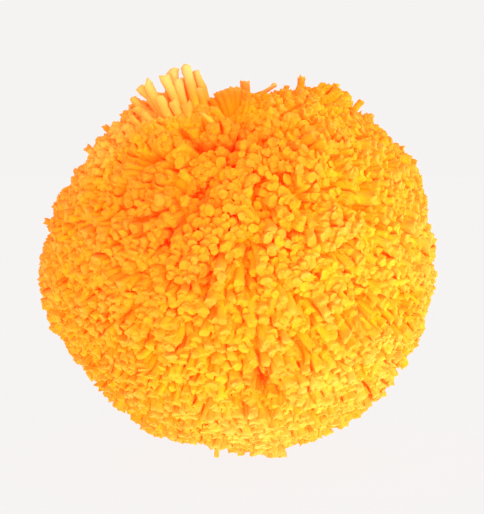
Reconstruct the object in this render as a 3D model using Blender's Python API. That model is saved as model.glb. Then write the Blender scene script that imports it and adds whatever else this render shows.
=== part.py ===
"""A yarn pom pom: cut strands bound together at one point, trimmed to an uneven ball.

The ball is one body. Its strands are gathered into locks of 3 or 4 sides, which stand apart
but for their roots and fan out from the binding point. The lowest locks are shorter and end
level on the surface that the ball rests on.
"""
import math
import random

import bmesh
import bpy
from mathutils import Vector, noise

# All sizes are in metres and all angles in degrees. +Z is up and -Y is the front.
BALL_RADIUS = 0.0388
BALL_CENTRE = Vector((0.0007, 0.0, 0.0388))
DEPTH_SHARE = 0.965
BINDING_POINT = BALL_CENTRE + Vector((-0.0010, 0.0, 0.0110))

# The place where the strands point straight out of the front: its clock and forward angles.
FAN_POLE = (95, 70)

# The core that joins the roots, as a share of the ball's radius.
CORE_SHARE = 0.74

# The locks: how many corners they share, how uneven they are and how far they stand apart.
CELL_CORNERS = 272
CELL_SCATTER = 0.16
RELAX_ROUNDS = 10
RELAX_SHARE = 0.5
ROOT_GAP = 0.0013
SHOULDER_SHARE = 0.86
SHOULDER_WIDTH = 0.90
TIP_WIDTH = 0.52
LENGTH_UNEVEN = 0.0013
LEAN_UNEVEN = 0.0012
UNEVEN_DETAIL = 7.0
LEAN_SHIFTS = (Vector((20.0, 0.0, 0.0)), Vector((0.0, 20.0, 0.0)), Vector((0.0, 0.0, 20.0)))
SEED = 8

# A tip that comes lower than this is cut level on the surface below the ball.
FOOT_SNAP = 0.0011
FOOT_ROUNDING = 0.0009

# Where the trimmed ball swells or dips: the place on the outline (0 right, 90 top), the turn
# from the outline towards the front, the angle over which it fades, and its height.
SWELL_COLUMNS = ("name", "clock", "forward", "spread", "height")
SWELLS = (
    ("long tuft", 111, 5, 12, 0.0072),
    ("hollow crown", 90, 4, 23, -0.0082),
    ("right shoulder", 65, 0, 12, 0.0044),
    ("shoulder cut", 48, 0, 7, -0.0008),
    ("upper left flat", 143, 0, 12, -0.0014),
    ("left bulge", 184, 0, 18, 0.0027),
    ("lower left flat", 225, 0, 14, -0.0012),
    ("cut beside the foot", 255, 0, 8, -0.0026),
    ("foot", 272, 0, 13, 0.0030),
    ("right bulge", 35, 0, 20, 0.0010),
    ("lower right flat", 315, 0, 18, -0.0008),
    ("hollow under the crown", 100, 52, 8, -0.0030),
    ("upper parting", 121, 66, 7, -0.0040),
    ("right parting", 62, 60, 8, -0.0028),
    ("left parting", 170, 66, 7, -0.0026),
    ("lower parting", 281, 49, 7, -0.0034),
    ("back bulge", 180, -70, 24, 0.0012),
    ("back hollow", 70, -50, 16, -0.0016),
    ("lower back flat", 300, -40, 18, -0.0014),
)

YARN_COLOUR = (0.97, 0.37, 0.015, 1.0)
YARN_ROUGHNESS = 0.9


def clear_scene():
    """Removes the objects that the scene opens with."""
    for thing in list(bpy.data.objects):
        bpy.data.objects.remove(thing, do_unlink=True)


def outward(clock, forward):
    """Returns the direction of a place on the ball."""
    clock = math.radians(clock)
    forward = math.radians(forward)
    reach = math.cos(forward)
    return Vector((reach * math.cos(clock), -math.sin(forward), reach * math.sin(clock)))


def trimmed_radius(direction):
    """Returns how far from the ball's centre the shears left the strands."""
    radius = BALL_RADIUS * math.sqrt(
        direction.x ** 2 + direction.z ** 2 + (DEPTH_SHARE * direction.y) ** 2
    )
    for row in SWELLS:
        swell = dict(zip(SWELL_COLUMNS, row))
        angle = direction.angle(outward(swell["clock"], swell["forward"]))
        fade = math.exp(-((math.degrees(angle) / swell["spread"]) ** 2))
        radius += swell["height"] * fade
    return radius


def lock_length(direction):
    """Returns the radius that one lock reaches, with its own unevenness."""
    return trimmed_radius(direction) + LENGTH_UNEVEN * noise.noise(direction * UNEVEN_DETAIL)


def scattered_directions():
    """Returns directions spread evenly over the ball, each a little off its place."""
    chooser = random.Random(SEED)
    fan_pole = Vector((0.0, 0.0, 1.0)).rotation_difference(outward(*FAN_POLE))
    golden_turn = math.pi * (3.0 - math.sqrt(5.0))
    step = math.sqrt(4.0 * math.pi / CELL_CORNERS)
    directions = []
    for index in range(CELL_CORNERS):
        height = 1.0 - 2.0 * (index + 0.5) / CELL_CORNERS
        ring = math.sqrt(1.0 - height * height)
        turn = index * golden_turn
        place = fan_pole @ Vector((ring * math.cos(turn), ring * math.sin(turn), height))
        shift = Vector([chooser.gauss(0.0, CELL_SCATTER * step) for _ in range(3)])
        directions.append((place + shift).normalized())
    return directions


def core_cells(mesh):
    """Covers the core with cells of 3 or 4 sides, one for the root of each lock."""
    for direction in scattered_directions():
        mesh.verts.new(direction)
    bmesh.ops.convex_hull(mesh, input=mesh.verts)
    bmesh.ops.join_triangles(
        mesh,
        faces=mesh.faces,
        angle_face_threshold=math.pi,
        angle_shape_threshold=math.pi,
    )
    for _ in range(RELAX_ROUNDS):
        bmesh.ops.smooth_vert(
            mesh,
            verts=mesh.verts,
            factor=RELAX_SHARE,
            use_axis_x=True,
            use_axis_y=True,
            use_axis_z=True,
        )
        for vert in mesh.verts:
            vert.co.normalize()
    for vert in mesh.verts:
        vert.co = BALL_CENTRE + vert.co * CORE_SHARE * trimmed_radius(vert.co)


def middle(points):
    """Returns the middle of some points."""
    return sum(points, Vector()) / len(points)


def cut_end(root, radius):
    """Follows a strand from the binding point past its root to a radius of the ball."""
    along = (root - BINDING_POINT).normalized()
    offset = BINDING_POINT - BALL_CENTRE
    half = along.dot(offset)
    reach = -half + math.sqrt(half * half - offset.length_squared + radius * radius)
    return BINDING_POINT + along * reach


def end_on_floor(root, end, level):
    """Shortens or lengthens a strand so that its end comes to a level above the floor."""
    share = (level - root.z) / (end.z - root.z)
    return root.lerp(end, share)


def lock_lean(direction):
    """Returns how far a lock's tip leans off its straight course."""
    places = [direction * UNEVEN_DETAIL + shift for shift in LEAN_SHIFTS]
    return Vector([noise.noise(place) for place in places]) * LEAN_UNEVEN


def lock_rings(roots):
    """Returns the corners of a lock's shoulder and of its cut tip, one for each root corner."""
    root_middle = middle(roots)
    facing = (cut_end(root_middle, BALL_RADIUS) - BALL_CENTRE).normalized()
    radius = lock_length(facing)
    lean = lock_lean(facing)
    ends = [cut_end(root, radius) + lean for root in roots]
    shoulder = [root.lerp(end, SHOULDER_SHARE) for root, end in zip(roots, ends)]
    shoulder = [middle(shoulder).lerp(corner, SHOULDER_WIDTH) for corner in shoulder]
    tip = [middle(ends).lerp(end, TIP_WIDTH) for end in ends]
    if min(end.z for end in tip) < FOOT_SNAP:
        shoulder = [end_on_floor(root, end, FOOT_ROUNDING) for root, end in zip(roots, shoulder)]
        tip = [end_on_floor(root, end, 0.0) for root, end in zip(roots, tip)]
    return shoulder, tip


def raise_locks(mesh):
    """Parts the cells at their roots and draws a lock out of each."""
    cells = list(mesh.faces)
    bmesh.ops.inset_individual(mesh, faces=cells, thickness=ROOT_GAP / 2.0, use_even_offset=True)
    for cell in cells:
        top = cell
        corners = [vert.co.copy() for vert in cell.verts]
        for ring in lock_rings(corners):
            top = bmesh.ops.extrude_discrete_faces(mesh, faces=[top])["faces"][0]
            for vert in top.verts:
                vert.co = ring[corners.index(vert.co)]
            corners = ring


def yarn_material():
    """Makes the yarn's plain finish."""
    material = bpy.data.materials.new("golden_yarn")
    material.use_nodes = True
    shader = material.node_tree.nodes["Principled BSDF"]
    shader.inputs["Base Color"].default_value = YARN_COLOUR
    shader.inputs["Roughness"].default_value = YARN_ROUGHNESS
    shader.inputs["Metallic"].default_value = 0.0
    material.diffuse_color = YARN_COLOUR
    return material


def build_pompom(collection):
    """Builds the whole ball as one closed body."""
    mesh = bmesh.new()
    core_cells(mesh)
    raise_locks(mesh)
    bmesh.ops.recalc_face_normals(mesh, faces=mesh.faces)
    data = bpy.data.meshes.new("pompom")
    mesh.to_mesh(data)
    mesh.free()
    data.shade_flat()
    data.materials.append(yarn_material())
    pompom = bpy.data.objects.new("pompom", data)
    collection.objects.link(pompom)
    return pompom


def main():
    clear_scene()
    collection = bpy.data.collections.new("yarn_pom_pom")
    bpy.context.scene.collection.children.link(collection)
    build_pompom(collection)


main()
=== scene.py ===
"""The looks of a golden yarn pom pom: thousands of cut, plied strands round a fused core.

All sizes are in metres and angles in degrees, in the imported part's own frame: +Z is up, the
front is -Y, and the ball rests on z = 0. A place on the ball is given by its angle on the outline
(0 right, 90 top) and its turn from the outline towards the front, or in millimetres across and up
from the ball's middle, as the camera sees it.
"""

import math

import bpy
import numpy as np
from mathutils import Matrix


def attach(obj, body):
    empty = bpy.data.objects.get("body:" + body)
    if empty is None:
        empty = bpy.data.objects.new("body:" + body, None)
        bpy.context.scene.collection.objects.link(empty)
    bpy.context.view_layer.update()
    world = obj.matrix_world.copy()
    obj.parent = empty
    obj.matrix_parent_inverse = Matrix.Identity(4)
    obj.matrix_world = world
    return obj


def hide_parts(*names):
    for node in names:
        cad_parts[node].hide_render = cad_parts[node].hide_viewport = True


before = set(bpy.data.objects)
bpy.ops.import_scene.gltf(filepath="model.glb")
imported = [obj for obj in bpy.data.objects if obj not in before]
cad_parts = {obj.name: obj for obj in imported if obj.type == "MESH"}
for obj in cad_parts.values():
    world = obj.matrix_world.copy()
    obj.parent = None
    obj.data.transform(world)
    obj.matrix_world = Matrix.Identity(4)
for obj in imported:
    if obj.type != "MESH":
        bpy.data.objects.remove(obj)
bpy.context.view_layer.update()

MM_PER_METRE = 1000.0

# The trimmed ball: its radius and middle, its depth as a share of its width, the place where the
# strands are bound, and how far from the radius a usual strand ends.
BALL_RADIUS = 0.0388
BALL_CENTRE = np.array((0.0007, 0.0, 0.0388))
DEPTH_SHARE = 0.965
BINDING_POINT = BALL_CENTRE + np.array((-0.0010, -0.0100, 0.0130))
TRIM = -0.0011

# Where the trimmed ball swells or dips: the name, the angle on the outline, the turn towards the
# front, the angle over which it fades, and its height.
SWELLS = (
    ("tuft bed", 112, 12, 11, -0.0046),
    ("hollow crown", 90, 4, 17, -0.0058),
    ("notch beside the tuft", 99, -12, 8, -0.0026),
    ("notch beside the tab", 81, -14, 8, -0.0030),
    ("gap under the loop", 81, 2, 3.5, -0.0034),
    ("right shoulder", 62, 0, 9, 0.0036),
    ("cut beside the tuft", 129, 0, 8, 0.0004),
    ("upper left flat", 143, 0, 10, -0.0018),
    ("left bulge", 190, 0, 18, 0.0024),
    ("lower left flat", 216, 0, 14, -0.0010),
    ("cut beside the foot", 256, 0, 9, -0.0022),
    ("foot", 273, 0, 9, 0.0008),
    ("under the front", 270, 18, 12, -0.0006),
    ("right side", 350, 0, 10, 0.0008),
    ("right bulge", 28, 0, 20, 0.0016),
    ("lower right bulge", 325, 0, 16, 0.0008),
    ("back bulge", 180, -70, 24, 0.0012),
    ("back hollow", 70, -50, 16, -0.0016),
    ("lower back flat", 300, -40, 18, -0.0014),
)

# Partings in the pile of the front, in millimetres and degrees: the place across and up, the turn
# of the parting's line, its length, its width and how much shorter the strands in it are.
PARTINGS = (
    (-2.0, 33.2, 100, 9.0, 2.8, 8.0),
    (-11.0, 31.0, 28, 6.0, 3.4, 4.5),
    (-0.7, 25.3, 20, 3.0, 1.4, 3.0),
    (-7.5, 14.5, 60, 3.6, 1.8, 4.5),
    (-2.3, 20.9, 75, 2.6, 1.1, 3.0),
    (2.1, 17.9, 40, 2.4, 1.0, 2.5),
    (4.1, 13.7, 100, 2.4, 1.0, 2.5),
    (9.0, 16.5, -52, 5.0, 1.2, 3.0),
    (13.0, 11.5, -60, 3.6, 1.1, 2.5),
    (-15.1, 5.1, 45, 3.0, 1.5, 3.5),
    (-26.1, 9.1, 25, 3.0, 1.3, 2.5),
    (-18.1, 21.3, -25, 5.0, 1.8, 5.0),
    (-12.5, 26.7, -38, 5.0, 1.7, 4.5),
    (-8.1, 24.3, -20, 4.0, 1.5, 4.0),
    (-6.7, -1.5, 70, 2.6, 1.0, 2.5),
    (-5.7, -3.7, 80, 2.4, 1.0, 3.0),
    (1.7, -4.6, 90, 4.4, 1.3, 4.5),
    (2.1, 3.3, 80, 2.2, 0.9, 2.0),
    (-11.7, -13.9, 60, 2.2, 1.1, 3.0),
    (-1.7, -11.1, 110, 3.0, 1.0, 2.5),
    (4.2, -24.6, 105, 3.6, 1.6, 7.0),
    (5.6, -29.4, 115, 4.2, 0.9, 3.0),
    (11.7, -7.9, 118, 3.4, 1.0, 3.0),
    (14.9, -12.7, 115, 3.6, 1.1, 2.8),
    (11.9, -16.9, 95, 3.4, 1.0, 2.8),
    (25.2, -9.6, 110, 3.4, 1.9, 3.0),
    (33.2, -10.4, 120, 3.0, 1.5, 2.6),
    (10.9, -29.3, 175, 2.4, 0.9, 2.2),
    (20.9, 15.3, -35, 3.2, 1.2, 2.0),
    (9.5, 26.9, 30, 3.6, 1.2, 2.2),
    (14.5, 23.1, -30, 3.0, 1.1, 2.2),
    (-21.0, -3.0, 40, 2.8, 1.1, 2.0),
    (-17.5, -19.0, 50, 3.0, 1.0, 1.8),
    (-0.6, -27.6, 100, 2.6, 0.9, 2.0),
    (17.5, -18.5, 120, 2.8, 1.0, 2.0),
)

# Partings all over: how many, the least and most of each measure, and how far their lines stray
# from the way that the strands fan out.
MORE_PARTINGS = 130
MORE_LENGTH = (0.0018, 0.0050)
MORE_WIDTH = (0.0007, 0.0014)
MORE_DEPTH = (0.0006, 0.0030)
MORE_LINE_SCATTER = 0.25

# How strands lean away from a parting: how far, how suddenly and over how many of its widths. It
# moves only strands that face its way, by the cosine between them.
PARTING_PUSH = 0.25
PARTING_STEEPNESS = 1.5
PARTING_WIDTHS = 2.0
PARTING_FACING = 0.5

# The strands: their number, unevenness and how they gather into tufts. A scatter is a share of
# the distance to the next one.
SEED = 11
STRANDS = 8900
TIP_SCATTER = 0.25
TUFTS = 700
TUFT_SCATTER = 0.3
TUFT_GATHER = (0.0, 0.18)
TUFT_LIFT = 0.00040
TUFT_LEAN = 0.0005
LENGTH_UNEVEN = 0.00030
SHORT_SHARE = 0.24
SHORT_BY = 0.0028
LONG_SHARE = 0.02
LONG_BY = 0.0006
BEND = 0.0006

# One strand: plies with a slack twist, felted into one, which open towards the cut end. A level
# is a depth below the cut end, and the width there is a share of the strand's own.
SIDES = 8
LEVELS = np.array((0.0090, 0.0044, 0.0018, 0.0004, 0.0))
WIDTHS = np.array((1.00, 1.00, 1.00, 1.03, 0.97))
CAP_RISE = 0.00004
STRAND_RADIUS = (0.00070, 0.00110)
LOBES = 2
LOBE_DEPTH = 0.06
FRAY_LOBE_DEPTH = 0.14
FRAY_DEPTH = 0.0030
OVAL = 0.16
TWIST_LENGTH = 0.018
SIDE_UNEVEN = 0.06
END_UNEVEN = 0.18
END_DEPTH = 0.00075
EDGE_UNEVEN = 0.00026

# Cut ends stay this far above the floor, and their rough edges and fibres half as far.
FLOOR_CLEARANCE = 0.00008
LOWEST_POINT = FLOOR_CLEARANCE / 2.0

# Strands that stand out: the tip's place and the root's, in millimetres across, up and forward
# from the ball's middle, the sideways bow in millimetres, the width as a share of the radius
# below, and the painted shading, which runs from painted light, paler (below nothing), to
# painted shade, deeper orange (above nothing).
LOOSE_RADIUS = 0.00080
LOOSE_STRANDS = (
    (-21.2, 32.9, 3.0, -11.0, 24.5, 8.0, 0.4, 1.10, -0.5),
    (-20.4, 30.9, 6.0, -11.4, 23.0, 10.0, -0.3, 1.15, -0.5),
    (-20.0, 35.0, 3.0, -10.5, 24.0, 9.0, -0.9, 1.15, -0.5),
    (-18.3, 36.1, 5.0, -9.9, 23.5, 11.0, 0.7, 1.10, -0.5),
    (-17.9, 33.2, 4.0, -10.7, 23.0, 11.0, 0.2, 1.20, -0.5),
    (-16.2, 33.9, 0.5, -10.3, 23.5, 7.0, 0.2, 1.25, -0.6),
    (-15.0, 37.1, 5.0, -9.2, 23.0, 11.5, -0.4, 1.20, -0.5),
    (-13.4, 38.5, 3.0, -8.5, 23.5, 9.0, 0.9, 1.25, -0.4),
    (-12.3, 36.2, 5.5, -8.2, 23.0, 11.5, 0.3, 1.20, -0.4),
    (-10.8, 39.3, 4.0, -7.7, 23.0, 10.0, -0.4, 1.30, -0.2),
    (-10.6, 36.4, 1.5, -7.4, 24.0, 8.0, 0.2, 1.20, -0.3),
    (-8.9, 38.0, 3.0, -5.8, 23.5, 9.0, -0.9, 1.20, -0.2),
    (-8.2, 34.6, 5.5, -5.6, 23.0, 11.0, -0.5, 1.15, -0.1),
    (-18.8, 29.6, 9.0, -10.8, 21.5, 13.0, 0.3, 1.20, -0.6),
    (-15.7, 33.0, 8.0, -9.8, 21.5, 13.5, 0.2, 1.25, -0.6),
    (-13.2, 32.2, 9.0, -8.8, 21.5, 14.0, -0.2, 1.20, -0.6),
    (-10.4, 31.4, 10.0, -7.4, 21.5, 14.0, 0.2, 1.15, -0.4),
    (-7.2, 31.2, 9.0, -5.4, 22.0, 13.0, 0.2, 1.00, 0.0),
    (-17.0, 34.0, -4.5, -10.6, 24.0, 1.0, 0.3, 1.20, -0.8),
    (-13.8, 36.4, -3.0, -9.2, 24.5, 2.0, -0.3, 1.20, -0.8),
    (-11.3, 37.2, -2.0, -8.0, 25.0, 3.0, 0.3, 1.20, -0.8),
    (-9.3, 35.8, -5.0, -7.0, 25.0, 0.0, -0.3, 1.20, -0.6),
    (-5.6, 32.6, 7.0, -1.6, 24.7, 7.0, -0.5, 1.10, 0.4),
    (-4.5, 33.9, 7.5, -1.1, 24.7, 7.5, -0.4, 1.15, 0.4),
    (-3.2, 34.4, 8.0, -0.8, 24.7, 8.0, -0.3, 1.15, 0.4),
    (-1.9, 34.6, 8.0, -0.5, 24.7, 8.0, -0.2, 1.15, 0.4),
    (-0.6, 34.7, 8.0, -0.1, 24.7, 8.0, -0.1, 1.15, 0.3),
    (0.8, 34.3, 8.0, 0.3, 24.7, 8.0, 0.0, 1.10, 0.3),
    (2.1, 33.3, 8.0, 0.9, 24.7, 8.0, 0.1, 1.10, 0.5),
    (0.9, 36.4, 0.0, 1.2, 29.9, 0.0, 0.0, 1.05, 0.3),
    (6.9, 35.9, 1.0, 1.7, 33.2, 1.0, -0.4, 0.60, 0.0),
    (9.3, 35.7, 0.0, 8.5, 30.7, 0.0, 0.2, 0.80, 0.0),
    (12.3, 37.4, 0.0, 11.3, 30.7, 0.0, 0.0, 0.80, 0.0),
    (24.2, 32.6, 0.0, 20.7, 27.7, 0.0, 0.1, 0.80, 0.0),
    (-27.2, 27.5, 0.0, -22.9, 23.9, 0.0, 0.2, 0.75, 0.0),
    (-30.9, 23.4, 0.0, -26.5, 20.1, 0.0, 0.2, 0.85, 0.0),
    (-37.6, 11.9, 0.0, -32.3, 10.1, 0.0, 0.1, 0.85, 0.0),
    (-39.3, 8.5, 0.0, -34.1, 7.5, 0.0, 0.1, 0.85, 0.0),
    (-7.2, 29.4, 24.0, -3.4, 22.5, 23.2, -1.1, 0.60, -0.2),
    (-3.1, 14.7, 33.6, -2.9, 14.5, 26.0, 0.0, 1.10, 0.2),
    (-4.9, -38.75, 4.5, -4.6, -33.0, 4.5, 0.1, 0.55, -0.4),
    (0.1, -38.4, 4.0, -0.1, -32.6, 4.0, 0.1, 0.95, -0.4),
    (2.4, -38.4, 4.0, 2.0, -32.6, 4.0, 0.1, 0.90, -0.4),
    (5.7, -38.75, 4.2, 4.8, -32.8, 4.2, 0.1, 1.05, -0.4),
    (7.1, -38.75, 4.4, 6.2, -32.6, 4.4, 0.1, 1.00, -0.4),
    (8.4, -38.75, 4.2, 7.5, -32.6, 4.2, 0.0, 1.00, -0.4),
)

# Painted light and shade on the yarn: a deeper orange (above nothing) is painted shade, as in the
# partings and on the shaded side of the crown, and a paler one (below nothing) is painted light,
# as on the lit rims: the name, the angle on the outline, the turn towards the front, the angle
# over which it fades, and the painted shading. A strand that a parting makes shorter by the depth
# below gets one whole step of painted shade.
PAINTED_SHADING_PLACES = (
    ("crown", 96, 42, 11, 0.48),
    ("upper left front", 126, 62, 24, 0.44),
    ("upper left hollow", 138, 43, 9, 0.45),
    ("left front", 172, 63, 20, 0.38),
    ("upper right front", 68, 50, 16, 0.42),
    ("upper left rim", 140, 18, 15, -0.45),
    ("tuft bed", 114, 10, 14, -0.65),
    ("left rim", 190, 10, 14, -0.15),
    ("right rim", 0, 12, 22, -0.15),
    ("lower right rim", 318, 34, 28, -0.22),
    ("bottom rim", 272, 24, 22, -0.28),
    ("lower left front", 228, 58, 12, 0.16),
    ("parting near the bottom", 281, 55, 6, 1.10),
    ("parting below the front", 311, 61, 6, 0.55),
    ("parting at the right", 340, 48, 7, 0.95),
    ("parting at the right rim", 345, 26, 6, 0.60),
)
PARTING_SHADE_DEPTH = 0.0085

# Each strand has a tint of its own between 0 and 1, but these strands and the core have this one.
MIDDLE_TINT = 0.5

# Loose fibres at the cut ends: how many, how long and wide, how deep they are rooted, how far
# down the side of the end they grow, as a share of a level, and how far they stray.
FIBRES = 49000
FIBRE_LENGTH = (0.0003, 0.0009)
FIBRE_WIDTH = 0.00016
FIBRE_ROOT = 0.0002
FIBRE_SPREAD = 0.9
FIBRE_SCATTER = 0.40

# The core that the strands are bound into: how deep it lies under their cut ends.
CORE_DEPTH = 0.0030
CORE_DETAIL = 6
CORE_FIBRES = 60.0

# The strands are shared out from left to right, along cuts that tilt by this much.
PIECES = 5
PIECE_TILT = 0.3

# The map of a mesh's surface: each body has a tile of it, with a margin round its own part. There
# are more columns than rows, and the corners of a root zigzag, to cover a little of the map.
TILE_MARGIN = 0.06
TILE_SHARE = 0.88
TILE_STRETCH = 1.9
ROOT_ZIGZAG = 0.05

# The yarn's colour from the cut ends down to the roots: the depth and the colour there. The stops
# near the ball's surface hold the yarn's own orange; the palest stop, beyond it, is painted rim
# light on the cut ends that stand out, and the yellower stops deep down are painted light in the
# crevices of the pile. The depth is taken partly under the ball's surface and partly below the
# strand's own cut end, and shifts with the strand's tint and its streaks.
YARN_AND_PAINTED_LIGHT_COLOURS = (
    (-0.0050, (1.0, 0.420, 0.130)),
    (-0.0018, (1.0, 0.265, 0.030)),
    (-0.0002, (1.0, 0.230, 0.007)),
    (0.0014, (1.0, 0.350, 0.005)),
    (0.0034, (1.0, 0.540, 0.006)),
    (0.0070, (1.0, 0.660, 0.008)),
)
# The painted shade blends the yarn towards the first colour, and the painted light towards the
# second.
PAINTED_SHADE_COLOUR = (1.0, 0.165, 0.004, 1.0)
PAINTED_LIGHT_COLOUR = (1.0, 0.420, 0.070, 1.0)
COLOUR_START = -0.0050
COLOUR_REACH = 0.0120
BALL_DEPTH_SHARE = 0.7
OWN_DEPTH_SHARE = 0.3
TINT_SPREAD = 0.0012
STREAK_SPREAD = 0.0024

# The streaks run along the plies. The apart value keeps each strand's streaks its own.
STREAK_LENGTH = 0.004
STREAKS_APART = 50.0
STREAK_PATTERN = {"Scale": 2.2, "Detail": 3.0}
STREAK_BUMP = {"Strength": 0.25, "Distance": 0.0001}
YARN_FINISH = {
    "Roughness": 0.9,
    "Specular IOR Level": 0.12,
    "Sheen Weight": 0.15,
    "Sheen Roughness": 0.5,
    "Sheen Tint": (1.0, 0.62, 0.20, 1.0),
}

# The camera: a little above the ball's middle, straight in front, with a long lens. The ball's
# middle and radius in the picture are in pixels.
PHOTO_WIDTH = 484
PHOTO_HEIGHT = 514
BALL_IN_PHOTO = (240.6, 263.3)
BALL_RADIUS_IN_PHOTO = 193.8
LENS = 0.100
SENSOR = 0.036
CLIP_START = 0.01
CAMERA_ELEVATION = 4.0

# The studio: even pale surroundings, a pale floor of the same tone, which throws light up over
# the fade's distance from its left back to its front right, and broad soft lights. A light has a
# name, its turn to the right of the front, its rise above the floor, its spread and its strength.
BACKGROUND = (0.913, 0.896, 0.888, 1.0)
BACKDROP_GLOW = 1.0
SURROUNDINGS = 1.27
FLOOR_RADIUS = 6.0
FLOOR_SIDES = 96
FLOOR_GLOW = 0.984
FLOOR_BOUNCE = (1.6, 4.6)
FLOOR_FADE = 0.12
FLOOR_FINISH = {
    "Base Color": (0.015, 0.015, 0.015, 1.0),
    "Roughness": 1.0,
    "Specular IOR Level": 0.0,
    "Emission Color": BACKGROUND,
}
LIGHTS = (
    ("key", 70.0, 6.0, 110.0, 3.2),
    ("front", 20.0, 5.0, 60.0, 0.7),
)
LIGHT_COLOUR = (1.0, 0.98, 0.95)
DIFFUSE_BOUNCES = 24


def outward(clock, forward):
    """Returns the direction of a place, from its angle on the outline and turn to the front."""
    clock = np.radians(clock)
    forward = np.radians(forward)
    return np.stack(
        (np.cos(forward) * np.cos(clock), -np.sin(forward), np.cos(forward) * np.sin(clock)), -1
    )


def unit(vectors):
    """Returns the vectors at length one."""
    return vectors / np.linalg.norm(vectors, axis=-1, keepdims=True)


def even_radius(directions):
    """Returns the radius of the ball before any swell or dip."""
    x, y, z = np.moveaxis(directions, -1, 0)
    return BALL_RADIUS * np.sqrt(x * x + z * z + (DEPTH_SHARE * y) ** 2)


def faded_sum(directions, rows):
    """Returns the sum of the rows' last values, each faded with the angle from its place."""
    total = np.zeros(directions.shape[:-1])
    for _, clock, forward, spread, value in rows:
        facing = np.clip(directions @ outward(clock, forward), -1.0, 1.0)
        total += value * np.exp(-((np.degrees(np.arccos(facing)) / spread) ** 2))
    return total


def trimmed_radius(directions):
    """Returns how far from the ball's middle the strands reach in each direction."""
    return even_radius(directions) + TRIM + faded_sum(directions, SWELLS)


def outer_depth(points):
    """Returns how far points lie under the trimmed ball's surface."""
    away = points - BALL_CENTRE
    distance = np.linalg.norm(away, axis=-1)
    return trimmed_radius(away / distance[..., None]) - distance


def painted_shading_at(directions, short):
    """Returns the painted shade, deeper orange, and the painted light, paler, on the yarn, from
    its place and its parting.
    """
    return faded_sum(directions, PAINTED_SHADING_PLACES) + short / PARTING_SHADE_DEPTH


def scattered_directions(count, scatter, rng):
    """Returns directions spread over a ball, each a little off its place in an even spiral."""
    index = np.arange(count)
    height = 1.0 - 2.0 * (index + 0.5) / count
    ring = np.sqrt(1.0 - height * height)
    turn = index * math.pi * (3.0 - math.sqrt(5.0))
    even = np.stack((ring * np.cos(turn), height, ring * np.sin(turn)), -1)
    step = math.sqrt(4.0 * math.pi / count)
    return unit(even + rng.normal(scale=scatter * step, size=even.shape))


def across_axes(axes, rng):
    """Returns two directions square to each axis and to each other, turned at random."""
    first = unit(np.cross(axes, rng.normal(size=axes.shape)))
    return first, np.cross(axes, first)


def camera_offset():
    """Returns the way from the ball's middle to the camera."""
    focal = LENS / SENSOR * PHOTO_HEIGHT
    distance = BALL_RADIUS / math.sin(math.atan(BALL_RADIUS_IN_PHOTO / focal))
    rise = math.radians(CAMERA_ELEVATION)
    return distance * np.array((0.0, -math.cos(rise), math.sin(rise)))


def shown_directions(across, up):
    """Returns where on the core the camera sees places across and up from the ball's middle."""
    eye = camera_offset()
    rise = math.radians(CAMERA_ELEVATION)
    plane = np.stack((across, up * math.sin(rise), up * math.cos(rise)), -1)
    rays = unit(plane - eye)
    along = rays @ eye
    reach = -along - np.sqrt(along ** 2 - eye @ eye + (BALL_RADIUS - CORE_DEPTH) ** 2)
    return unit(eye + rays * reach[:, None])


def partings(rng):
    """Returns each parting's middle, its line, its cross direction and its measures."""
    across, up, turn, *measures = np.array(PARTINGS).T
    turn = np.radians(turn)
    middle = shown_directions(across / MM_PER_METRE, up / MM_PER_METRE)
    line = np.stack((np.cos(turn), np.zeros(len(turn)), np.sin(turn)), -1)
    more_middle = unit(rng.normal(size=(MORE_PARTINGS, 3)))
    pole = unit(BINDING_POINT - BALL_CENTRE + np.array((0.0, -BALL_RADIUS, 0.0)))
    more_line = pole + rng.normal(scale=MORE_LINE_SCATTER, size=more_middle.shape)
    spans = (MORE_LENGTH, MORE_WIDTH, MORE_DEPTH)
    more_measures = [rng.uniform(*span, MORE_PARTINGS) for span in spans]
    middle = np.concatenate((middle, more_middle))
    line = np.concatenate((line, more_line))
    line = unit(line - middle * (line * middle).sum(-1, keepdims=True))
    measures = np.concatenate((np.stack(measures) / MM_PER_METRE, np.stack(more_measures)), 1).T
    return middle, line, np.cross(middle, line), measures


def part_strands(places, cuts):
    """Leans strands away from the partings, and returns their new places and lost length."""
    shift = np.zeros_like(places)
    short = np.zeros(len(places))
    for middle, line, cross, (length, width, depth) in zip(*cuts):
        away = (places - middle) * BALL_RADIUS
        along = away @ line / length
        aside = away @ cross / width
        near = np.exp(-(along ** 2)) * (places @ middle > PARTING_FACING)
        push = np.tanh(PARTING_STEEPNESS * aside) * np.exp(-((aside / PARTING_WIDTHS) ** 2))
        shift += cross * (push * near * PARTING_PUSH * width)[:, None]
        short += depth * np.exp(-(aside ** 2)) * near
    return unit(places + shift / BALL_RADIUS), short


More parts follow.
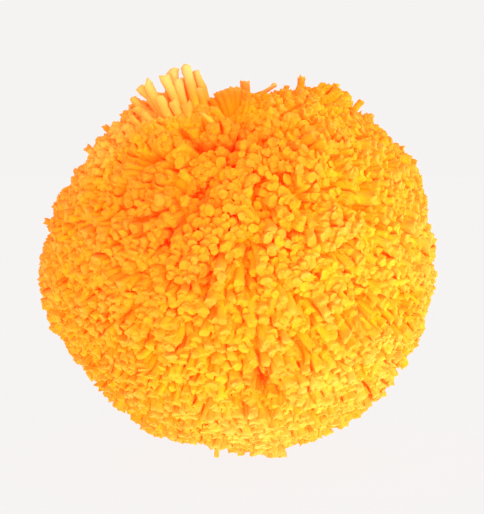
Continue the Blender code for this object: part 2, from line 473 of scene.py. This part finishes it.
def strand_ends(cuts, rng):
    """Returns the root, the cut end and the painted shading of each strand of the pile."""
    places = scattered_directions(STRANDS, TIP_SCATTER, rng)
    tufts = scattered_directions(TUFTS, TUFT_SCATTER, rng)
    nearest = np.argmax(places @ tufts.T, axis=1)
    gather = rng.uniform(*TUFT_GATHER, TUFTS)[nearest, None]
    lean = rng.normal(scale=TUFT_LEAN / BALL_RADIUS, size=tufts.shape)[nearest]
    ends = unit(places + (tufts[nearest] - places) * gather + lean)
    ends, short = part_strands(ends, cuts)
    length = trimmed_radius(ends) - short + rng.normal(scale=TUFT_LIFT, size=TUFTS)[nearest]
    length += rng.normal(scale=LENGTH_UNEVEN, size=STRANDS)
    length -= SHORT_BY * rng.random(STRANDS) * (rng.random(STRANDS) < SHORT_SHARE)
    length += LONG_BY * rng.random(STRANDS) * (rng.random(STRANDS) < LONG_SHARE)
    tips = BALL_CENTRE + ends * length[:, None]
    full = BALL_CENTRE + places * length[:, None]
    roots = full - unit(full - BINDING_POINT) * LEVELS[0]
    low = tips[:, 2] < FLOOR_CLEARANCE
    share = (FLOOR_CLEARANCE - roots[low, 2]) / (tips[low, 2] - roots[low, 2])
    tips[low] = roots[low] + (tips[low] - roots[low]) * share[:, None]
    return roots, tips, painted_shading_at(ends, short)


def loose_strands():
    """Returns the root, cut end, bow, radius, tint and painted shading of the strands that stand
    out.
    """
    tip, root, bow, width, painted_shading = np.split(np.array(LOOSE_STRANDS), (3, 6, 7, 8), axis=1)
    metres = np.array((1.0, -1.0, 1.0)) / MM_PER_METRE
    tips = BALL_CENTRE + tip[:, (0, 2, 1)] * metres
    roots = BALL_CENTRE + root[:, (0, 2, 1)] * metres
    tips[:, 2] = np.maximum(tips[:, 2], FLOOR_CLEARANCE)
    side = unit(np.cross(unit(tips - roots), np.array((0.0, 1.0, 0.0))))
    bows = side * bow / MM_PER_METRE
    tint = np.full(len(tips), MIDDLE_TINT)
    return roots, tips, bows, width[:, 0] * LOOSE_RADIUS, tint, painted_shading[:, 0]


def all_strands(cuts, rng):
    """Returns the root, cut end, bow, radius, tint and painted shading of every strand, left to
    right.
    """
    roots, tips, painted_shading = strand_ends(cuts, rng)
    side, other = across_axes(unit(tips - roots), rng)
    bows = BEND * (side * rng.normal(size=(STRANDS, 1)) + other * rng.normal(size=(STRANDS, 1)))
    radii = rng.uniform(*STRAND_RADIUS, STRANDS)
    tint = rng.random(STRANDS)
    usual = (roots, tips, bows, radii, tint, painted_shading)
    everything = [np.concatenate(pair) for pair in zip(usual, loose_strands())]
    tips = everything[1]
    order = np.argsort(tips[:, 0] + PIECE_TILT * tips[:, 2])
    return [values[order] for values in everything]


def strand_rings(roots, tips, bows, radii, rng):
    """Returns every strand's points as strands x levels x sides, its cap, depths and twist.

    A bow is widest halfway along its strand.
    """
    count = len(tips)
    run = tips - roots
    reach = np.linalg.norm(run, axis=-1)
    axes = run / reach[:, None]
    side, other = across_axes(axes, rng)
    share = LEVELS / LEVELS[0]
    back = reach[:, None] * share
    middle = (
        tips[:, None]
        - axes[:, None] * back[..., None]
        + bows[:, None] * (4.0 * share * (1.0 - share))[:, None]
    )
    around = 2.0 * math.pi * np.arange(SIDES) / SIDES
    start = rng.uniform(0.0, 2.0 * math.pi, size=(count, 1, 1))
    turned = around + start + 2.0 * math.pi * back[..., None] / TWIST_LENGTH
    opening = np.clip(1.0 - back[..., None] / FRAY_DEPTH, 0.0, 1.0) * rng.random((count, 1, 1))
    lobes = (LOBE_DEPTH + FRAY_LOBE_DEPTH * opening) * np.cos(LOBES * turned)
    oval = OVAL * rng.random((count, 1, 1)) * np.cos(2.0 * turned + start)
    rough = np.where(LEVELS < END_DEPTH, END_UNEVEN, SIDE_UNEVEN)[:, None]
    uneven = rough * rng.uniform(-1.0, 1.0, size=(count, len(LEVELS), SIDES))
    radius = (radii[:, None] * WIDTHS)[..., None] * (1.0 + lobes + oval + uneven)
    axial = np.zeros((count, len(LEVELS), SIDES))
    axial[:, -2:] = rng.normal(scale=EDGE_UNEVEN, size=(count, 1, SIDES))
    rings = (
        middle[:, :, None]
        + side[:, None, None] * (radius * np.cos(around))[..., None]
        + other[:, None, None] * (radius * np.sin(around))[..., None]
        + axes[:, None, None] * axial[..., None]
    )
    cap = middle[:, -1] + axes * CAP_RISE
    own = np.repeat(back[..., None], SIDES, 2).reshape(count, -1)
    return rings, cap, own, turned


def tube_faces(levels, sides):
    """Returns one closed tube's faces, and the map places of their corners, around and along."""
    faces = []
    places = []
    for level in range(levels - 1):
        low, high = level * sides, (level + 1) * sides
        for side in range(sides):
            after = (side + 1) % sides
            faces.append((low + side, low + after, high + after, high + side))
            near = ((side, level), (side + 1, level))
            far = ((side + 1, level + 1), (side, level + 1))
            places.append(near + far)
    top = (levels - 1) * sides
    for side in range(sides):
        faces.append((top + side, top + (side + 1) % sides, levels * sides))
        places.append(((side, levels - 1), (side + 1, levels - 1), (side + 0.5, levels)))
    faces.append(tuple(reversed(range(sides))))
    places.append(tuple((side, ROOT_ZIGZAG * (side % 2)) for side in reversed(range(sides))))
    return faces, places


def tiled_map(places, bodies):
    """Returns the map places of the corners of many like bodies, each in a tile of its own."""
    tile = np.concatenate([np.array(place, float) for place in places])
    tile = TILE_MARGIN + TILE_SHARE * tile / tile.max(axis=0)
    columns = math.ceil(math.sqrt(bodies) * TILE_STRETCH)
    rows = math.ceil(bodies / columns)
    index = np.arange(bodies)
    corner = np.stack((index % columns, index // columns), -1)
    return (tile[None] + corner[:, None]) / (columns, rows)


def set_attributes(mesh, attributes):
    """Gives each point of a mesh its named values, one or three for each point."""
    for key, values in attributes.items():
        single = values.size == len(mesh.vertices)
        kind, field = ("FLOAT", "value") if single else ("FLOAT_VECTOR", "vector")
        layer = mesh.attributes.new(key, kind, "POINT")
        layer.data.foreach_set(field, values.astype(np.float32).ravel())


def body_attributes(depth, tint, painted_shading, fibre):
    """Returns the values that points carry; the tint and the painted shading are the same all over
    a body.
    """
    size = depth.shape[1]
    return {
        "depth": depth,
        "tint": np.repeat(tint[:, None], size, 1),
        "painted_shading": np.repeat(painted_shading[:, None], size, 1),
        "fibre": fibre,
    }


def new_mesh(name, points, faces, places, attributes):
    """Makes one mesh of many like bodies, each with the same faces.

    Faces of four sides are shaded smooth; those of the cut ends stay crisp.
    """
    bodies, size = points.shape[:2]
    corners = np.concatenate([np.array(face) for face in faces])
    starts = np.cumsum([0] + [len(face) for face in faces])[:-1]
    mesh = bpy.data.meshes.new(name)
    mesh.vertices.add(bodies * size)
    mesh.vertices.foreach_set("co", points.astype(np.float32).ravel())
    mesh.loops.add(bodies * len(corners))
    loops = corners[None] + size * np.arange(bodies)[:, None]
    mesh.loops.foreach_set("vertex_index", loops.astype(np.int32).ravel())
    mesh.polygons.add(bodies * len(faces))
    polygons = starts[None] + len(corners) * np.arange(bodies)[:, None]
    mesh.polygons.foreach_set("loop_start", polygons.astype(np.int32).ravel())
    smooth = np.array([len(face) == 4 for face in faces])
    mesh.polygons.foreach_set("use_smooth", np.tile(smooth, bodies))
    uv = tiled_map(places, bodies)
    mesh.uv_layers.new(name="OFBake").uv.foreach_set("vector", uv.astype(np.float32).ravel())
    set_attributes(mesh, attributes)
    mesh.update(calc_edges=True)
    mesh.validate()
    return mesh


def add_piece(name, mesh, material):
    """Adds a mesh as a piece of the pom pom."""
    piece = bpy.data.objects.new(name, mesh)
    bpy.context.scene.collection.objects.link(piece)
    mesh.materials.append(material)
    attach(piece, "root")
    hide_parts("pompom")


def pile(cuts, material, rng):
    """Builds all the strands, in pieces that each take a share of them."""
    roots, tips, bows, radii, tint, painted_shading = all_strands(cuts, rng)
    rings, cap, own, turned = strand_rings(roots, tips, bows, radii, rng)
    faces, places = tube_faces(len(LEVELS), SIDES)
    strands = len(rings)
    points = np.concatenate((rings.reshape(strands, -1, 3), cap[:, None]), 1)
    points[..., 2] = np.maximum(points[..., 2], LOWEST_POINT)
    own = np.concatenate((own, np.zeros((strands, 1))), 1)
    depth = BALL_DEPTH_SHARE * outer_depth(points) + OWN_DEPTH_SHARE * own
    fibre = np.zeros(points.shape)
    fibre[:, :-1, 0] = np.cos(turned).reshape(strands, -1)
    fibre[:, :-1, 1] = np.sin(turned).reshape(strands, -1)
    fibre[..., 2] = own / STREAK_LENGTH + STREAKS_APART * tint[:, None]
    for number, share in enumerate(np.array_split(np.arange(strands), PIECES)):
        name = f"pile_{number + 1}"
        attributes = body_attributes(depth[share], tint[share], painted_shading[share], fibre[share])
        mesh = new_mesh(name, points[share], faces, places, attributes)
        add_piece(name, mesh, material)
    return rings, tint, painted_shading


def fuzz(rings, tint, painted_shading, material, rng):
    """Builds the loose fibres at the cut ends, each a fine closed spike."""
    tube = rng.integers(0, len(rings), FIBRES)
    side = rng.integers(0, SIDES, FIBRES)
    level = rng.random(FIBRES)[:, None] ** 2 * FIBRE_SPREAD
    end = rings[tube, -2, side]
    below = rings[tube, -3, side]
    base = end + (below - end) * level
    axis = unit(end - below)
    axis = unit(axis + rng.normal(scale=FIBRE_SCATTER, size=axis.shape))
    first, second = across_axes(axis, rng)
    length = rng.uniform(*FIBRE_LENGTH, FIBRES)[:, None]
    points = np.empty((FIBRES, 4, 3))
    for corner in range(3):
        angle = 2.0 * math.pi * corner / 3.0
        aside = first * math.cos(angle) + second * math.sin(angle)
        points[:, corner] = base - axis * FIBRE_ROOT + 0.5 * FIBRE_WIDTH * aside
    points[:, 3] = base + axis * length
    points[..., 2] = np.maximum(points[..., 2], LOWEST_POINT)
    faces = [(0, 1, 3), (1, 2, 3), (2, 0, 3), (2, 1, 0)]
    places = [((k, 0), (k + 1, 0), (k + 0.5, 1)) for k in range(3)]
    places.append(((2, 0), (1, 0), (0, ROOT_ZIGZAG)))
    depth = BALL_DEPTH_SHARE * outer_depth(points)
    fibre = np.zeros(points.shape)
    fibre[..., 2] = STREAKS_APART * tint[tube, None]
    # Each fibre carries the painted shade and painted light of its strand.
    attributes = body_attributes(depth, tint[tube], painted_shading[tube], fibre)
    add_piece("fuzz", new_mesh("fuzz", points, faces, places, attributes), material)


def core(cuts, material):
    """Builds the ball that the roots of the strands are bound into."""
    bpy.ops.mesh.primitive_ico_sphere_add(subdivisions=CORE_DETAIL, radius=1.0)
    ball = bpy.context.object
    mesh = ball.data
    points = np.empty(len(mesh.vertices) * 3, np.float32)
    mesh.vertices.foreach_get("co", points)
    directions = unit(points.reshape(-1, 3).astype(float))
    short = part_strands(directions, cuts)[1]
    radius = trimmed_radius(directions) - short - CORE_DEPTH
    places = BALL_CENTRE + directions * radius[:, None]
    places[:, 2] = np.maximum(places[:, 2], CORE_DEPTH)
    mesh.vertices.foreach_set("co", places.astype(np.float32).ravel())
    # The core carries the painted shade and painted light of the pile above it.
    set_attributes(
        mesh,
        {
            "depth": outer_depth(places),
            "tint": np.full(len(places), MIDDLE_TINT),
            "painted_shading": painted_shading_at(directions, short),
            "fibre": directions * CORE_FIBRES,
        },
    )
    mesh.shade_smooth()
    bpy.data.objects.remove(ball)
    add_piece("core", mesh, material)


def feed(tree, value, socket):
    """Gives a socket a number, or joins it to another socket."""
    if isinstance(value, float):
        socket.default_value = value
    else:
        tree.links.new(value, socket)


def set_inputs(node, values):
    """Sets a node's own values by their names."""
    for name, value in values.items():
        node.inputs[name].default_value = value


def calculated(tree, operation, *values):
    """Returns a socket with a sum of numbers and sockets."""
    node = tree.nodes.new("ShaderNodeMath")
    node.operation = operation
    for value, socket in zip(values, node.inputs):
        feed(tree, value, socket)
    return node.outputs[0]


def carried(tree, name, output="Fac"):
    """Returns a socket with one of the values that the points carry."""
    node = tree.nodes.new("ShaderNodeAttribute")
    node.attribute_name = name
    return node.outputs[output]


def depth_colour_and_painted_light(tree, streaks):
    """Returns a socket with the yarn's colour and the painted light at the ramp's ends, from its
    depth, its tint and its streaks.
    """
    start = COLOUR_START + (TINT_SPREAD + STREAK_SPREAD) / 2.0
    place = calculated(
        tree, "MULTIPLY_ADD", carried(tree, "depth"), 1.0 / COLOUR_REACH, -start / COLOUR_REACH
    )
    for source, spread in ((carried(tree, "tint"), TINT_SPREAD), (streaks, STREAK_SPREAD)):
        place = calculated(tree, "MULTIPLY_ADD", source, spread / COLOUR_REACH, place)
    ramp = tree.nodes.new("ShaderNodeValToRGB")
    stops = ramp.color_ramp.elements
    while len(stops) < len(YARN_AND_PAINTED_LIGHT_COLOURS):
        stops.new(0.5)
    for stop, (level, colour) in zip(stops, YARN_AND_PAINTED_LIGHT_COLOURS):
        stop.position = (level - COLOUR_START) / COLOUR_REACH
        stop.color = (*colour, 1.0)
    tree.links.new(place, ramp.inputs["Fac"])
    return ramp.outputs["Color"]


def with_painted_shading(tree, colour):
    """Returns a socket with a colour made deeper orange by painted shade and paler by painted
    light.
    """
    painted_shading = carried(tree, "painted_shading")
    painted_light = calculated(tree, "MULTIPLY", painted_shading, -1.0)
    for share, shade in ((painted_shading, PAINTED_SHADE_COLOUR), (painted_light, PAINTED_LIGHT_COLOUR)):
        mix = tree.nodes.new("ShaderNodeMix")
        mix.data_type = "RGBA"
        mix.inputs["B"].default_value = shade
        tree.links.new(share, mix.inputs["Factor"])
        tree.links.new(colour, mix.inputs["A"])
        colour = mix.outputs["Result"]
    return colour


def yarn_material():
    """Makes the soft yarn: fibres along the ply, and colours from its cut ends to its roots, with
    painted light and shade.
    """
    material = bpy.data.materials.new("golden_yarn")
    material.use_nodes = True
    tree = material.node_tree
    shader = tree.nodes["Principled BSDF"]
    set_inputs(shader, YARN_FINISH)
    pattern = tree.nodes.new("ShaderNodeTexNoise")
    set_inputs(pattern, STREAK_PATTERN)
    tree.links.new(carried(tree, "fibre", "Vector"), pattern.inputs["Vector"])
    streaks = pattern.outputs["Fac"]
    tree.links.new(with_painted_shading(tree, depth_colour_and_painted_light(tree, streaks)), shader.inputs["Base Color"])
    bump = tree.nodes.new("ShaderNodeBump")
    set_inputs(bump, STREAK_BUMP)
    tree.links.new(streaks, bump.inputs["Height"])
    tree.links.new(bump.outputs["Normal"], shader.inputs["Normal"])
    return material


def camera():
    """Places the camera so that the ball has its place and size in the picture."""
    data = bpy.data.cameras.new("camera")
    data.lens = LENS * MM_PER_METRE
    data.sensor_width = SENSOR * MM_PER_METRE
    data.shift_x = (PHOTO_WIDTH / 2.0 - BALL_IN_PHOTO[0]) / PHOTO_HEIGHT
    data.shift_y = (BALL_IN_PHOTO[1] - PHOTO_HEIGHT / 2.0) / PHOTO_HEIGHT
    data.clip_start = CLIP_START
    view = bpy.data.objects.new("camera", data)
    bpy.context.scene.collection.objects.link(view)
    view.location = BALL_CENTRE + camera_offset()
    view.rotation_euler = (math.radians(90.0 - CAMERA_ELEVATION), 0.0, 0.0)
    bpy.context.scene.camera = view


def seen_and_cast(tree, seen, cast):
    """Returns a socket with one value as the camera sees it and another for the light it casts."""
    path = tree.nodes.new("ShaderNodeLightPath")
    strength = tree.nodes.new("ShaderNodeMix")
    feed(tree, cast, strength.inputs["A"])
    feed(tree, seen, strength.inputs["B"])
    tree.links.new(path.outputs["Is Camera Ray"], strength.inputs["Factor"])
    return strength.outputs["Result"]


def floor_bounce(tree):
    """Returns a socket with the light that the floor throws up, most on the front right."""
    place = tree.nodes.new("ShaderNodeTexCoord")
    along = tree.nodes.new("ShaderNodeVectorMath")
    along.operation = "DOT_PRODUCT"
    along.inputs[1].default_value = (math.sqrt(0.5), -math.sqrt(0.5), 0.0)
    fade = tree.nodes.new("ShaderNodeMapRange")
    least, most = FLOOR_BOUNCE
    set_inputs(
        fade, {"From Min": -FLOOR_FADE, "From Max": FLOOR_FADE, "To Min": least, "To Max": most}
    )
    tree.links.new(place.outputs["Object"], along.inputs[0])
    tree.links.new(along.outputs["Value"], fade.inputs["Value"])
    return fade.outputs["Result"]


def surroundings():
    """Makes the even, pale surroundings."""
    world = bpy.data.worlds.new("studio")
    world.use_nodes = True
    tree = world.node_tree
    backdrop = tree.nodes["Background"]
    backdrop.inputs["Color"].default_value = BACKGROUND
    strength = seen_and_cast(tree, BACKDROP_GLOW, SURROUNDINGS)
    tree.links.new(strength, backdrop.inputs["Strength"])
    bpy.context.scene.world = world


def pale_floor():
    """Lays the plain pale floor."""
    bpy.ops.mesh.primitive_circle_add(
        vertices=FLOOR_SIDES, radius=FLOOR_RADIUS, fill_type="NGON"
    )
    floor = bpy.context.object
    floor.name = "floor"
    material = bpy.data.materials.new("pale_floor")
    material.use_nodes = True
    tree = material.node_tree
    shader = tree.nodes["Principled BSDF"]
    set_inputs(shader, FLOOR_FINISH)
    glow = seen_and_cast(tree, FLOOR_GLOW, floor_bounce(tree))
    tree.links.new(glow, shader.inputs["Emission Strength"])
    floor.data.materials.append(material)


def lights():
    """Hangs the broad, soft lights."""
    for name, turn, rise, spread, strength in LIGHTS:
        data = bpy.data.lights.new(name, "SUN")
        data.energy = strength
        data.color = LIGHT_COLOUR
        data.angle = math.radians(spread)
        light = bpy.data.objects.new(name, data)
        bpy.context.scene.collection.objects.link(light)
        light.rotation_euler = (math.radians(90.0 - rise), 0.0, math.radians(turn))


def studio():
    """Builds the studio, in which light passes often from strand to strand."""
    surroundings()
    pale_floor()
    lights()
    scene = bpy.context.scene
    scene.view_settings.view_transform = "Standard"
    scene.view_settings.look = "None"
    scene.cycles.max_bounces = DIFFUSE_BOUNCES
    scene.cycles.diffuse_bounces = DIFFUSE_BOUNCES


rng = np.random.default_rng(SEED)
yarn = yarn_material()
cuts = partings(rng)
core(cuts, yarn)
strand_points, strand_tints, strand_painted_shading = pile(cuts, yarn, rng)
fuzz(strand_points, strand_tints, strand_painted_shading, yarn, rng)
camera()
studio()
